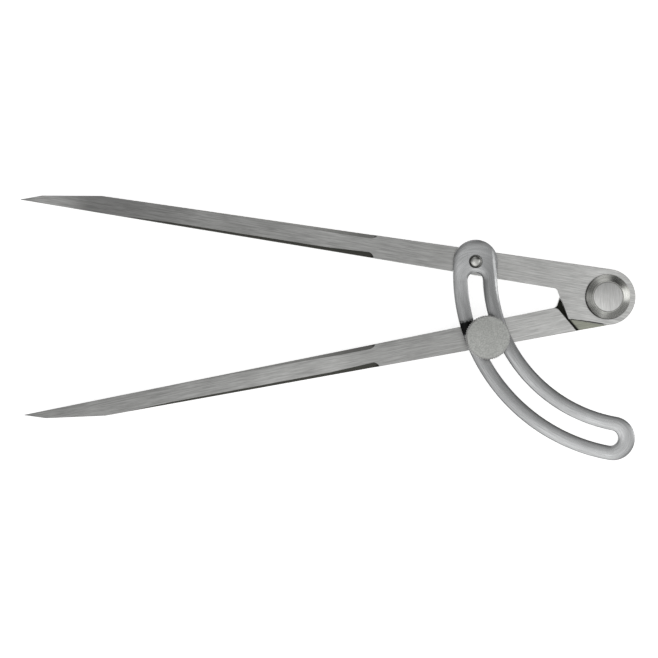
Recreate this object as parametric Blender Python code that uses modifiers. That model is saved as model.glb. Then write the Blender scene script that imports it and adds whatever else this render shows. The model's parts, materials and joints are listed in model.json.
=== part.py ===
"""Forged steel wing divider: two half-lapped legs on a riveted head, locked by a slotted arc wing.

Units are metres and +Z is up. The divider lies on its back: the pivot axis is the Z axis, the
flat end of the head rivet lies on Z = 0, and the points reach towards -X. Both legs are one and
the same forging, the second one turned over, so that the front lug of one laps the rear lug of
the other.
"""

import math

import bmesh
import bpy
from mathutils import Matrix, Vector

MM = 0.001

# Clearances
SEAT_GAP = 0.15 * MM        # between flat faces that rest on each other
RUNNING_GAP = 0.1 * MM      # radial, between a shaft and its hole
CLOSED_GAP = 0.2 * MM       # between the inner edges of the closed legs
LAP_CLEARANCE = 0.2 * MM    # between a lug and the shoulder that it swings past

# Pose of the legs, measured from the -X axis
UPPER_LEG_ANGLE = math.radians(9.4)
LOWER_LEG_ANGLE = math.radians(11.4)
FULL_OPENING = math.radians(97.5)

# Legs: plan view
LEG_REACH = 200.8 * MM      # pivot axis to point
HEAD_RADIUS = 9.45 * MM
NOSE_LENGTH = 27 * MM       # from the end of the long taper to the point
NOSE_WIDTH = 5.8 * MM       # width of the leg where the nose starts
KNEE_SHARE = 0.26           # of the nose's length, from the knee in the outer edge to the point
KNEE_WIDTH = 2.7 * MM
POINT_LAND = 0.15 * MM      # width of the blunt end of the point
LUG_LENGTH = 17.2 * MM      # pivot axis to the lug's root, along the inner edge
LUG_ANGLE = math.radians(60.5)
LUG_FILLET = 1.7 * MM
LUG_CORNER_RADIUS = 0.5 * MM

# Legs: side view
LEG_THICKNESS = 6 * MM
TAPER_START = 70 * MM       # pivot axis to the start of the taper in thickness
NOSE_THICKNESS = 3.4 * MM
POINT_THICKNESS = 0.4 * MM

# Ground flutes on the edges of the legs, which fade out towards the points. Each station has its
# share of the way from the run-out to the nose, and the flute's width there.
FLUTE_EXIT = 80 * MM        # pivot axis to the rounded run-out of each flute
FLUTE_RUN_OUT = 2.8 * MM    # length of the rounded end
FLUTE_SOLE_MARGIN = 1.05    # half width of the grinding tool over the flute's depth
BROAD_FLUTE = ((0.0, 1.75 * MM), (0.17, 1.0 * MM), (0.75, 0.65 * MM), (0.93, 0.0))
SLIM_FLUTE = ((0.0, 1.3 * MM), (0.14, 1.2 * MM), (0.32, 0.65 * MM), (0.75, 0.0))

# Riveted head
ROSETTE_RADIUS = 0.804 * HEAD_RADIUS
RIVET_HEAD_RADIUS = 0.658 * ROSETTE_RADIUS
RIVET_RADIUS = 0.7 * RIVET_HEAD_RADIUS
RIVET_HEAD_HEIGHT = 1.2 * MM
ROSETTE_HEIGHT = 1.7 * MM
ROSETTE_RIM = 0.4 * MM      # height of the rosette's upright rim
ROSETTE_LAND = 0.15 * MM    # flat ring left between the bevel and the rivet

# Wing
WING_THICKNESS = 2.4 * MM
WING_WIDTH = 14.8 * MM
SLOT_WIDTH = 5.2 * MM
SLOT_START = 6.3 * MM       # centre of the slot's near end from the centre of the wing's eye
SLOT_END_SLACK = 0.9 * MM   # past the screw at full opening
WING_END_SHIFT = 0.8 * MM   # centre of the far end past the centre of the slot's end
WING_SWING_RATIO = 0.049    # turn of the wing on its rivet per turn of the lower leg
CENTRED_OPENINGS = (math.radians(16), math.radians(86))     # the screw is on the slot's arc
WING_CROWN = 1.3 * MM       # rounding of the wing's front edges
WING_BACK_ROUND = 0.35 * MM

# Wing rivet, on the upper leg
WING_RIVET_ALONG = 45.9 * MM
WING_RIVET_ACROSS = 4.4 * MM
WING_RIVET_RADIUS = 1.3 * MM
WING_RIVET_HEAD_RADIUS = 1.8 * MM
WING_RIVET_HEAD_HEIGHT = 1.0 * MM
WING_RIVET_TAIL_RADIUS = 2.0 * MM
WING_RIVET_TAIL_HEIGHT = 0.7 * MM
COUNTERBORE_RADIUS = 2.4 * MM
COUNTERBORE_DEPTH = 1.2 * MM

# Clamp screw, in the lower leg
SCREW_SETBACK = 3.1 * MM    # how much nearer than the wing rivet it is to the pivot
SCREW_ACROSS = 5.25 * MM
SCREW_THREAD_RADIUS = 2.0 * MM
SCREW_NECK_RADIUS = 1.0 * MM
SCREW_NECK_SINK = 0.6 * MM  # how far the neck reaches below the front face of the leg
SCREW_TAIL_SINK = 0.5 * MM  # how far the screw's end stays inside the back face
COLLAR_RADIUS = 4.6 * MM
COLLAR_HEIGHT = 1.2 * MM
KNOB_RADIUS = 7.4 * MM
KNOB_HEIGHT = 6.4 * MM
KNOB_CHAMFER = 0.45 * MM
KNURL_TEETH = 60
KNURL_DEPTH = 0.25 * MM

# Facets
ROUND_SEGMENTS = 64
SMALL_SEGMENTS = 32
HEAD_ARC_STEPS = 40
FILLET_STEPS = 8
WING_ARC_STEPS = 36
CAP_STEPS = 14
CROWN_SEGMENTS = 3
CUTTER_MARGIN = 3 * MM      # how far a cutter reaches past what it cuts

# Levels along Z, from the back of the head to the front
BACK_FACE_Z = ROSETTE_HEIGHT + SEAT_GAP
LEG_MIDDLE_Z = BACK_FACE_Z + LEG_THICKNESS / 2
FRONT_FACE_Z = BACK_FACE_Z + LEG_THICKNESS
HEAD_FRONT_Z = FRONT_FACE_Z + SEAT_GAP + ROSETTE_HEIGHT
WING_BACK_Z = FRONT_FACE_Z + SEAT_GAP
WING_FRONT_Z = WING_BACK_Z + WING_THICKNESS
COLLAR_BACK_Z = WING_FRONT_Z + SEAT_GAP
KNOB_BACK_Z = COLLAR_BACK_Z + COLLAR_HEIGHT
KNOB_FRONT_Z = KNOB_BACK_Z + KNOB_HEIGHT

INNER_EDGE = CLOSED_GAP / 2     # distance of the inner edge from the pivot's line
REST_OPENING = UPPER_LEG_ANGLE + LOWER_LEG_ANGLE
HALF_THICKNESS = LEG_THICKNESS / 2
NOSE_START = LEG_REACH - NOSE_LENGTH
SCREW_ALONG = WING_RIVET_ALONG - SCREW_SETBACK


def clear_scene():
    """Remove whatever the scene holds."""
    for old in list(bpy.data.objects):
        bpy.data.objects.remove(old, do_unlink=True)


def make_collection(name):
    """Return a new collection, linked to the scene."""
    collection = bpy.data.collections.new(name)
    bpy.context.scene.collection.children.link(collection)
    return collection


def steel(name, colour, roughness):
    """Return a bare steel material."""
    material = bpy.data.materials.new(name)
    material.use_nodes = True
    shader = material.node_tree.nodes["Principled BSDF"]
    shader.inputs["Base Color"].default_value = (*colour, 1.0)
    shader.inputs["Metallic"].default_value = 1.0
    shader.inputs["Roughness"].default_value = roughness
    return material


def arc(centre, radius, start, end, steps):
    """Return the points of an arc from one angle to another, both ends included."""
    turn = (end - start) / steps
    angles = [start + turn * step for step in range(steps + 1)]
    return [(centre[0] + radius * math.cos(a), centre[1] + radius * math.sin(a)) for a in angles]


def rounded(corner, before, after, radius, steps=FILLET_STEPS):
    """Return the points of the arc that rounds a corner between its two neighbours."""
    corner, before, after = Vector(corner), Vector(before), Vector(after)
    towards_before = (before - corner).normalized()
    towards_after = (after - corner).normalized()
    half_angle = towards_before.angle(towards_after) / 2
    tangent = radius / math.tan(half_angle)
    bisector = (towards_before + towards_after).normalized()
    centre = corner + bisector * (radius / math.sin(half_angle))
    first = corner + towards_before * tangent - centre
    last = corner + towards_after * tangent - centre
    sweep = -first.angle_signed(last)
    points = []
    for step in range(steps + 1):
        spoke = Matrix.Rotation(sweep * step / steps, 2) @ first
        points.append(tuple(centre + spoke))
    return points


def as_object(name, mesh, collection, material):
    """Return a new object for a mesh, in a collection and with a material."""
    item = bpy.data.objects.new(name, mesh)
    collection.objects.link(item)
    if material:
        mesh.materials.append(material)
    return item


def plate(name, outlines, bottom, top, collection, material=None):
    """Return a flat plate between two levels, cut from closed outlines; inner ones are holes."""
    curve = bpy.data.curves.new(name + "_outline", "CURVE")
    curve.dimensions = "2D"
    curve.fill_mode = "BOTH"
    curve.extrude = (top - bottom) / 2
    for outline in outlines:
        spline = curve.splines.new("POLY")
        spline.points.add(len(outline) - 1)
        for point, (x, y) in zip(spline.points, outline):
            point.co = (x, y, 0.0, 1.0)
        spline.use_cyclic_u = True
    flat = bpy.data.objects.new(name + "_outline", curve)
    collection.objects.link(flat)
    bpy.context.view_layer.update()
    evaluated = flat.evaluated_get(bpy.context.evaluated_depsgraph_get())
    mesh = bpy.data.meshes.new_from_object(evaluated)
    mesh.name = name
    mesh.materials.clear()
    bpy.data.objects.remove(flat, do_unlink=True)
    cleaned = bmesh.new()
    cleaned.from_mesh(mesh)
    bmesh.ops.remove_doubles(cleaned, verts=cleaned.verts, dist=1e-7)
    bmesh.ops.translate(cleaned, verts=cleaned.verts, vec=(0.0, 0.0, (top + bottom) / 2))
    bmesh.ops.recalc_face_normals(cleaned, faces=cleaned.faces)
    cleaned.to_mesh(mesh)
    cleaned.free()
    return as_object(name, mesh, collection, material)


def turned(name, profile, segments, collection, material=None):
    """Return a solid of revolution about Z; the profile of (radius, z) runs from top to bottom."""
    mesh = bpy.data.meshes.new(name)
    edges = [(index, index + 1) for index in range(len(profile) - 1)]
    mesh.from_pydata([(radius, 0.0, z) for radius, z in profile], edges, [])
    item = as_object(name, mesh, collection, material)
    spin = item.modifiers.new("Turning", "SCREW")
    spin.axis = "Z"
    spin.steps = spin.render_steps = segments
    spin.use_merge_vertices = True
    spin.merge_threshold = 1e-6
    spin.use_smooth_shade = False
    return item


def turned_ring(name, profile, segments, collection, material=None):
    """Return a turned ring, from a closed profile of (radius, z) that runs down its outer side."""
    return turned(name, profile + profile[:1], segments, collection, material)


def as_cutter(item, parent):
    """Mark an object as a cutter that moves with the piece it cuts."""
    item.hide_render = True
    item.display_type = "WIRE"
    item.parent = parent
    return item


def cut(item, cutter, operation="DIFFERENCE"):
    """Add an exact Boolean of one object with another."""
    boolean = item.modifiers.new(cutter.name, "BOOLEAN")
    boolean.object = cutter
    boolean.operation = operation
    boolean.solver = "EXACT"


def soften(item, angle=math.radians(30)):
    """Shade an object smooth, with its sharp edges kept."""
    item.data.shade_smooth()
    item.data.set_sharp_from_angle(angle=angle)


def on_leg(along, across):
    """Return a point of a leg's own plan: the leg reaches along -X, its outer side is +Y."""
    return (-along, across)


def leg_place(along, across, turned_over):
    """Return where a point of the upper or the lower leg lies in plan, in the rest pose."""
    x, y = on_leg(along, across)
    if turned_over:
        return Vector((x, -y)) @ Matrix.Rotation(-LOWER_LEG_ANGLE, 2)
    return Vector((x, y)) @ Matrix.Rotation(UPPER_LEG_ANGLE, 2)


def half_thickness_at(along):
    """Return half the thickness of a leg at a distance from the pivot."""
    share = min(max((along - TAPER_START) / (NOSE_START - TAPER_START), 0.0), 1.0)
    return (LEG_THICKNESS + share * (NOSE_THICKNESS - LEG_THICKNESS)) / 2


def outer_tangent_angle():
    """Return the angle, about the pivot, at which the outer edge touches the head."""
    nose_start = Vector((NOSE_START, NOSE_WIDTH))
    return math.atan2(nose_start.y, nose_start.x) + math.acos(HEAD_RADIUS / nose_start.length)


def outer_edge_at(along):
    """Return the distance of the outer edge from the pivot's line, on the long taper."""
    angle = outer_tangent_angle()
    return (HEAD_RADIUS - along * math.cos(angle)) / math.sin(angle)


def lug_corner():
    """Return the free corner of the lug, as (along, across)."""
    drop = HEAD_RADIUS + INNER_EDGE
    return (LUG_LENGTH - drop / math.tan(LUG_ANGLE), -HEAD_RADIUS)


def leg_outline():
    """Return the plan of a leg with its lug, as (along, across) points."""
    head = arc((0.0, 0.0), HEAD_RADIUS, outer_tangent_angle(), math.radians(270), HEAD_ARC_STEPS)
    corner = lug_corner()
    root = (LUG_LENGTH, INNER_EDGE)
    point = (LEG_REACH, INNER_EDGE)
    outline = list(head)
    outline += rounded(corner, head[-1], root, LUG_CORNER_RADIUS)
    outline += rounded(root, corner, point, LUG_FILLET)
    outline += [point, (LEG_REACH, INNER_EDGE + POINT_LAND)]
    knee = LEG_REACH - KNEE_SHARE * NOSE_LENGTH
    outline += [(knee, KNEE_WIDTH), (NOSE_START, NOSE_WIDTH)]
    return outline


def shoulder_outline():
    """Return the plan of the material cut away for the mating lug, as (along, across) points.

    The shoulder stands clear of the circle that the mating lug's corner sweeps, and its inner
    corner is rounded to pass the fillet at the root of that lug.
    """
    swept_radius = Vector(lug_corner()).length + LAP_CLEARANCE
    start = LUG_LENGTH + LAP_CLEARANCE
    slope = math.asin(swept_radius / start)
    reach = HEAD_RADIUS + CUTTER_MARGIN
    shave = INNER_EDGE - CLOSED_GAP / 10
    root = (start, shave)
    outer_end = (start - (reach - shave) / math.tan(slope), reach)
    far = start + LUG_LENGTH / 2
    outline = [(-reach, reach), (-reach, -reach), (far, -reach), (far, shave)]
    outline += rounded(root, (far, shave), outer_end, LUG_FILLET + LAP_CLEARANCE)
    outline.append(outer_end)
    return outline


def side_profile():
    """Return the side view of a leg, as (along, height) points about its middle plane."""
    back = -HEAD_RADIUS - CUTTER_MARGIN
    upper = [
        (back, HALF_THICKNESS),
        (TAPER_START, HALF_THICKNESS),
        (NOSE_START, NOSE_THICKNESS / 2),
        (LEG_REACH + CUTTER_MARGIN / 10, POINT_THICKNESS / 2),
    ]
    return upper + [(along, -height) for along, height in reversed(upper)]


def flute_tool(name, stations, cutters):
    """Return a grinding tool whose sole follows the stations of (distance, depth) along X.

    The tool is rounded at X = 0. Each stretch of its sole between two stations is flat.
    """
    depth = max(depth for _, depth in stations)
    half_width = depth * FLUTE_SOLE_MARGIN
    (first, shallow), (second, deeper) = stations[:2]
    slope = (deeper - shallow) / (second - first)
    plan = []
    for step in range(2 * FILLET_STEPS + 1):
        angle = math.pi * step / (2 * FILLET_STEPS)
        along = FLUTE_RUN_OUT * (1 - math.sin(angle))
        plan.append((along, half_width * math.cos(angle), -shallow - slope * along))
    nose_count = len(plan)
    rest = stations[1:]
    plan += [(along, -half_width, -sole) for along, sole in rest]
    plan += [(along, half_width, -sole) for along, sole in reversed(rest)]
    count = len(plan)
    top = depth + CUTTER_MARGIN
    lower_face = list(range(nose_count + 1)) + [count - 1]
    faces = [lower_face, list(range(count, 2 * count))]
    for index in range(nose_count, nose_count + len(rest) - 1):
        across = count - 1 - (index - nose_count)
        faces.append([index, index + 1, across - 1, across])
    for index in range(count):
        ahead = (index + 1) % count
        faces.append([index, ahead, ahead + count, index + count])
    mesh = bpy.data.meshes.new(name)
    mesh.from_pydata(plan + [(x, y, top) for x, y, _ in plan], [], faces)
    shaped = bmesh.new()
    shaped.from_mesh(mesh)
    bmesh.ops.recalc_face_normals(shaped, faces=shaped.faces)
    shaped.to_mesh(mesh)
    shaped.free()
    return as_object(name, mesh, cutters, None)


def flute_cutter(name, leg, side, face, flute, cutters):
    """Return the grinding tool for one flute, set against the edge that it grinds.

    side is +1 for the outer edge and -1 for the inner one, face is +1 for the front and -1 for
    the back.
    """

    def edge_point(along):
        across = outer_edge_at(along) if side > 0 else INNER_EDGE
        return Vector((*on_leg(along, across), face * half_thickness_at(along)))

    length = NOSE_START - FLUTE_EXIT
    stations = [(share * length, width / math.sqrt(2)) for share, width in flute]
    (before, depth), (end, _) = stations[-2:]
    stations[-1] = (end + CUTTER_MARGIN, -depth * CUTTER_MARGIN / (end - before))
    outward = Vector((0.0, side, face)).normalized()
    x_axis = (edge_point(NOSE_START) - edge_point(FLUTE_EXIT)).normalized()
    z_axis = (outward - x_axis * outward.dot(x_axis)).normalized()
    y_axis = z_axis.cross(x_axis)
    tool = flute_tool(name, stations, cutters)
    as_cutter(tool, leg)
    frame = Matrix((x_axis, y_axis, z_axis)).transposed().to_4x4()
    tool.matrix_local = Matrix.Translation(edge_point(FLUTE_EXIT)) @ frame
    return tool


def round_cutter(name, parent, place, profile, segments, cutters):
    """Return a turned cutter on an axis parallel to Z, from a profile of (radius, z)."""
    tool = turned(name, profile, segments, cutters)
    as_cutter(tool, parent)
    tool.location = (*place, 0.0)
    return tool


def straight_hole(radius, bottom, top):
    """Return the profile of a plain round cutter."""
    return [(0.0, top), (radius, top), (radius, bottom), (0.0, bottom)]


def make_leg(name, turned_over, hole_profile, hole_place, parts, cutters, material):
    """Return one leg: plan and side view meet, then the lap, the flutes and the holes are cut."""
    blank_half = HALF_THICKNESS + CUTTER_MARGIN
    plan = [on_leg(*point) for point in leg_outline()]
    leg = plate(name, [plan], -blank_half, blank_half, parts, material)

    width = 2 * (HEAD_RADIUS + CUTTER_MARGIN)
    side_view = [on_leg(*point) for point in side_profile()]
    sides = plate(name + "_side_view", [side_view], -width / 2, width / 2, cutters)
    as_cutter(sides, leg).rotation_euler = (math.radians(90), 0.0, 0.0)
    cut(leg, sides, "INTERSECT")

    lap = [on_leg(*point) for point in shoulder_outline()]
    lap_tool = plate(name + "_lap", [lap], -blank_half, SEAT_GAP / 2, cutters)
    cut(leg, as_cutter(lap_tool, leg))

    for side, face in ((-1, 1), (1, -1), (1, 1), (-1, -1)):
        flute = BROAD_FLUTE if side != face else SLIM_FLUTE
        label = ("outer" if side > 0 else "inner") + ("_front" if face > 0 else "_back")
        tool_name = f"{name}_flute_{label}"
        cut(leg, flute_cutter(tool_name, leg, side, face, flute, cutters))

    bore = straight_hole(RIVET_RADIUS + RUNNING_GAP, -blank_half, blank_half)
    cut(leg, round_cutter(name + "_bore", leg, (0.0, 0.0), bore, ROUND_SEGMENTS, cutters))
    place = on_leg(*hole_place)
    cut(leg, round_cutter(name + "_hole", leg, place, hole_profile, SMALL_SEGMENTS, cutters))

    leg.location.z = LEG_MIDDLE_Z
    if turned_over:
        leg.rotation_euler = (math.pi, 0.0, LOWER_LEG_ANGLE)
    else:
        leg.rotation_euler = (0.0, 0.0, -UPPER_LEG_ANGLE)
    soften(leg)
    return leg


def make_pivot_rivet(parts, material):
    """Return the head rivet, countersunk into both rosettes and ground flush with them."""
    profile = [
        (0.0, HEAD_FRONT_Z),
        (RIVET_HEAD_RADIUS, HEAD_FRONT_Z),
        (RIVET_RADIUS, HEAD_FRONT_Z - RIVET_HEAD_HEIGHT),
        (RIVET_RADIUS, RIVET_HEAD_HEIGHT),
        (RIVET_HEAD_RADIUS, 0.0),
        (0.0, 0.0),
    ]
    rivet = turned("pivot_rivet", profile, ROUND_SEGMENTS, parts, material)
    soften(rivet)
    return rivet


def make_rosette(name, seat_z, outward, parts, material):
    """Return a bevelled rosette on a lug, with outward +1 on the front and -1 on the back."""
    hole = RIVET_RADIUS + RUNNING_GAP
    mouth = RIVET_HEAD_RADIUS + RUNNING_GAP
    profile = [
        (mouth + ROSETTE_LAND, ROSETTE_HEIGHT),
        (ROSETTE_RADIUS, ROSETTE_RIM),
        (ROSETTE_RADIUS, 0.0),
        (hole, 0.0),
        (hole, ROSETTE_HEIGHT - RIVET_HEAD_HEIGHT),
        (mouth, ROSETTE_HEIGHT),
    ]
    rosette = turned_ring(name, profile, ROUND_SEGMENTS, parts, material)
    rosette.location.z = seat_z
    if outward < 0:
        rosette.rotation_euler = (math.pi, 0.0, 0.0)
    soften(rosette)
    return rosette


def screw_on_wing(opening):
    """Return the clamp screw's place on the wing at an opening, seen from the wing's rivet."""
    leg_turn = opening - REST_OPENING
    rivet = leg_place(WING_RIVET_ALONG, WING_RIVET_ACROSS, False)
    screw = leg_place(SCREW_ALONG, SCREW_ACROSS, True)
    swung = Matrix.Rotation(leg_turn, 2) @ screw
    return Matrix.Rotation(-WING_SWING_RATIO * leg_turn, 2) @ (swung - rivet)


def wing_centre():
    """Return the centre of the wing's arc, seen from its rivet.

    The arc passes through the rivet and through the screw's places at the centred openings.
    """
    first, second = (screw_on_wing(opening) for opening in CENTRED_OPENINGS)
    columns = Matrix((first, second))
    return columns.inverted() @ Vector((first.length_squared, second.length_squared)) / 2


def wing_outlines():
    """Return the wing's outer outline and its slot, about the axis of its rivet."""
    centre = wing_centre()
    radius = centre.length
    to_eye = -centre
    eye_angle = math.atan2(to_eye.y, to_eye.x) % math.tau
    to_screw = screw_on_wing(FULL_OPENING) - centre
    screw_angle = math.atan2(to_screw.y, to_screw.x) % math.tau
    slot_start = eye_angle + SLOT_START / radius
    slot_end = screw_angle + SLOT_END_SLACK / radius
    wing_end = slot_end + WING_END_SHIFT / radius

    def banana(start, end, half_width):
        far_cap = centre + Vector((math.cos(end), math.sin(end))) * radius
        near_cap = centre + Vector((math.cos(start), math.sin(start))) * radius
        outline = arc(centre, radius + half_width, start, end, WING_ARC_STEPS)[:-1]
        outline += arc(far_cap, half_width, end, end + math.pi, CAP_STEPS)[:-1]
        outline += arc(centre, radius - half_width, end, start, WING_ARC_STEPS)[:-1]
        outline += arc(near_cap, half_width, start + math.pi, start + math.tau, CAP_STEPS)[:-1]
        return outline

    return [banana(eye_angle, wing_end, WING_WIDTH / 2), banana(slot_start, slot_end, SLOT_WIDTH / 2)]


def weigh_rim(mesh, middle, back_weight):
    """Weigh the sharp rims of a plate for a bevel: 1 above the middle, less below it."""
    shaped = bmesh.new()
    shaped.from_mesh(mesh)
    weights = shaped.edges.layers.float.new("bevel_weight_edge")
    for edge in shaped.edges:
        if edge.calc_face_angle() < math.radians(60):
            continue
        heights = [vertex.co.z for vertex in edge.verts]
        if min(heights) > middle:
            edge[weights] = 1.0
        elif max(heights) < middle:
            edge[weights] = back_weight
    shaped.to_mesh(mesh)
    shaped.free()


def make_wing(parts, cutters, material):
    """Return the slotted arc wing, with its origin on the axis of its rivet."""
    wing = plate("wing", wing_outlines(), 0.0, WING_THICKNESS, parts, material)
    weigh_rim(wing.data, WING_THICKNESS / 2, WING_BACK_ROUND / WING_CROWN)
    crown = wing.modifiers.new("Crown", "BEVEL")
    crown.limit_method = "WEIGHT"
    crown.width = WING_CROWN
    crown.segments = CROWN_SEGMENTS

    floor = WING_THICKNESS - COUNTERBORE_DEPTH
    eye_profile = [
        (0.0, WING_THICKNESS + CUTTER_MARGIN),
        (COUNTERBORE_RADIUS, WING_THICKNESS + CUTTER_MARGIN),
        (COUNTERBORE_RADIUS, floor),
        (WING_RIVET_RADIUS + RUNNING_GAP, floor),
        (WING_RIVET_RADIUS + RUNNING_GAP, -CUTTER_MARGIN),
        (0.0, -CUTTER_MARGIN),
    ]
    cut(wing, round_cutter("wing_eye", wing, (0.0, 0.0), eye_profile, SMALL_SEGMENTS, cutters))
    rivet = leg_place(WING_RIVET_ALONG, WING_RIVET_ACROSS, False)
    wing.location = (rivet.x, rivet.y, WING_BACK_Z)
    soften(wing)
    return wing


def make_wing_rivet(parts, material):
    """Return the rivet that the wing swings on: domed front head, countersunk tail."""
    seat = WING_FRONT_Z - COUNTERBORE_DEPTH + SEAT_GAP
    cap_rise = WING_RIVET_HEAD_HEIGHT / 2
    profile = [(0.0, seat + WING_RIVET_HEAD_HEIGHT)]
    for step in range(1, 5):
        angle = math.radians(90) * step / 4
        radius = WING_RIVET_HEAD_RADIUS * math.sin(angle)
        profile.append((radius, seat + cap_rise * (1 + math.cos(angle))))
    tail = BACK_FACE_Z + RUNNING_GAP
    profile += [
        (WING_RIVET_HEAD_RADIUS, seat),
        (WING_RIVET_RADIUS, seat),
        (WING_RIVET_RADIUS, tail + WING_RIVET_TAIL_HEIGHT),
        (WING_RIVET_TAIL_RADIUS, tail),
        (0.0, tail),
    ]
    rivet = turned("wing_rivet", profile, SMALL_SEGMENTS, parts, material)
    place = leg_place(WING_RIVET_ALONG, WING_RIVET_ACROSS, False)
    rivet.location = (place.x, place.y, 0.0)
    soften(rivet)
    return rivet


def make_clamp_screw(parts, cutters, material):
    """Return the one-piece thumb screw: knurled knob, collar, waisted neck and threaded end."""
    thread_top = FRONT_FACE_Z - SCREW_NECK_SINK
    tail = BACK_FACE_Z + SCREW_TAIL_SINK
    lead = SCREW_THREAD_RADIUS - SCREW_NECK_RADIUS
    profile = [
        (0.0, KNOB_FRONT_Z),
        (KNOB_RADIUS - KNOB_CHAMFER, KNOB_FRONT_Z),
        (KNOB_RADIUS, KNOB_FRONT_Z - KNOB_CHAMFER),
        (KNOB_RADIUS, KNOB_BACK_Z + KNOB_CHAMFER),
        (KNOB_RADIUS - KNOB_CHAMFER, KNOB_BACK_Z),
        (COLLAR_RADIUS, KNOB_BACK_Z),
        (COLLAR_RADIUS, COLLAR_BACK_Z),
        (SCREW_NECK_RADIUS, COLLAR_BACK_Z),
        (SCREW_NECK_RADIUS, thread_top),
        (SCREW_THREAD_RADIUS, thread_top - lead / 2),
        (SCREW_THREAD_RADIUS, tail + lead / 2),
        (SCREW_THREAD_RADIUS - lead / 2, tail),
        (0.0, tail),
    ]
    screw = turned("clamp_screw", profile, ROUND_SEGMENTS, parts, material)
    teeth = []
    for index in range(2 * KNURL_TEETH):
        radius = KNOB_RADIUS - (KNURL_DEPTH if index % 2 else 0.0)
        angle = math.pi * index / KNURL_TEETH
        teeth.append((radius * math.cos(angle), radius * math.sin(angle)))
    knurl = plate("clamp_screw_knurl", [teeth], -CUTTER_MARGIN, KNOB_FRONT_Z + CUTTER_MARGIN, cutters)
    cut(screw, as_cutter(knurl, screw), "INTERSECT")
    place = leg_place(SCREW_ALONG, SCREW_ACROSS, True)
    screw.location = (place.x, place.y, 0.0)
    soften(screw)
    return screw


def main():
    """Build the divider in its rest pose."""
    clear_scene()
    parts = make_collection("wing_divider")
    cutters = make_collection("cutters")
    forged = (0.46, 0.46, 0.44)
    bright = (0.58, 0.58, 0.56)

    blank_half = HALF_THICKNESS + CUTTER_MARGIN
    rivet_hole = WING_RIVET_RADIUS + RUNNING_GAP
    tail_mouth = WING_RIVET_TAIL_RADIUS + RUNNING_GAP
    flare = (tail_mouth - rivet_hole) / WING_RIVET_TAIL_HEIGHT
    countersink_top = WING_RIVET_TAIL_HEIGHT + RUNNING_GAP - HALF_THICKNESS
    countersunk = [
        (0.0, blank_half),
        (rivet_hole, blank_half),
        (rivet_hole, countersink_top),
        (rivet_hole + flare * (countersink_top + blank_half), -blank_half),
        (0.0, -blank_half),
    ]
    tapped = straight_hole(SCREW_THREAD_RADIUS + RUNNING_GAP, -blank_half, blank_half)
    rivet_place = (WING_RIVET_ALONG, WING_RIVET_ACROSS)
    screw_place = (SCREW_ALONG, SCREW_ACROSS)
    front_steel = steel("front_leg_steel", forged, 0.36)
    rear_steel = steel("rear_leg_steel", forged, 0.36)
    make_leg("front_leg", False, countersunk, rivet_place, parts, cutters, front_steel)
    make_leg("rear_leg", True, tapped, screw_place, parts, cutters, rear_steel)

    make_pivot_rivet(parts, steel("pivot_rivet_steel", bright, 0.3))
    front_seat = FRONT_FACE_Z + SEAT_GAP
    make_rosette("front_rosette", front_seat, 1, parts, steel("front_rosette_steel", bright, 0.22))
    make_rosette("rear_rosette", ROSETTE_HEIGHT, -1, parts, steel("rear_rosette_steel", bright, 0.22))

    make_wing(parts, cutters, steel("wing_steel", bright, 0.34))
    make_wing_rivet(parts, steel("wing_rivet_steel", bright, 0.28))
    make_clamp_screw(parts, cutters, steel("clamp_screw_steel", forged, 0.5))


main()
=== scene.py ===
"""Studio scene of a forged steel wing divider that lies on its back on a pale table.

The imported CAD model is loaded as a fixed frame. Each sub-assembly is then dressed with finer
meshes and with steel finishes: the two forged legs, the riveted head, the slotted wing and the
knurled clamp screw. Sizes are in metres and +Z is up, as in the frame.
"""

import json
import logging
import math
from dataclasses import dataclass, replace
from enum import Enum
from typing import Callable, Sequence

import bmesh
import bpy
from bmesh.types import BMesh
from bpy.types import Material, Mesh, Node, NodeSocket, NodeTree, Object
from mathutils import Matrix, Vector

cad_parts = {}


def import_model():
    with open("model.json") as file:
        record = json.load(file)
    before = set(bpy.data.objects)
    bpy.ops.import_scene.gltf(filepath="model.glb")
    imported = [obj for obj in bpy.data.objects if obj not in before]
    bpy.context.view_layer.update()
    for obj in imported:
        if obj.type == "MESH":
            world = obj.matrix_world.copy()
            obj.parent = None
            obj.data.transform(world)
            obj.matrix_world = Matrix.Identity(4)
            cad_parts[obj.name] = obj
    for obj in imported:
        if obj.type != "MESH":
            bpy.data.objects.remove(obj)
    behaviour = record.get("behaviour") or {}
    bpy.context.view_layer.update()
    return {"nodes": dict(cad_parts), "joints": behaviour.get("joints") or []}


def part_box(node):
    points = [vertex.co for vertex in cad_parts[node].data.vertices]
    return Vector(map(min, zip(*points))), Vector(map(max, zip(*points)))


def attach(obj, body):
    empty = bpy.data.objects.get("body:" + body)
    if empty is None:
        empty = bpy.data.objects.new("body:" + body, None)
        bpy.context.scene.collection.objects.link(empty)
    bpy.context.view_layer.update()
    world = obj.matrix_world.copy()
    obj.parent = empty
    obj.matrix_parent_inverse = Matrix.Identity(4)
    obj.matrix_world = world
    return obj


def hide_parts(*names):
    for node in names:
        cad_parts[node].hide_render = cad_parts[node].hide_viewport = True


MM = 0.001
LOG = logging.getLogger("wing_divider")
BRUSH_MAP = "brushing"      # UV map of every piece: U runs with the strokes, V across, in metres
NOISE_BAND = (0.3, 0.7)     # the values that most of a noise keeps between
FINER = 2.9                 # how much finer the second layer of the tool marks is
SHARP_ANGLE = math.radians(32)

Place = tuple[float, float]             # in plan
Profile = list[tuple[float, float]]     # points of (radius, height)
Stops = tuple[tuple[float, float], ...]     # places on a line, each with its shade
Colour = tuple[float, float, float]
Point = tuple[float, float, float]


class Side(Enum):
    """The two sides of the head, by the direction in which each one faces."""

    FRONT = 1
    BACK = -1


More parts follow.
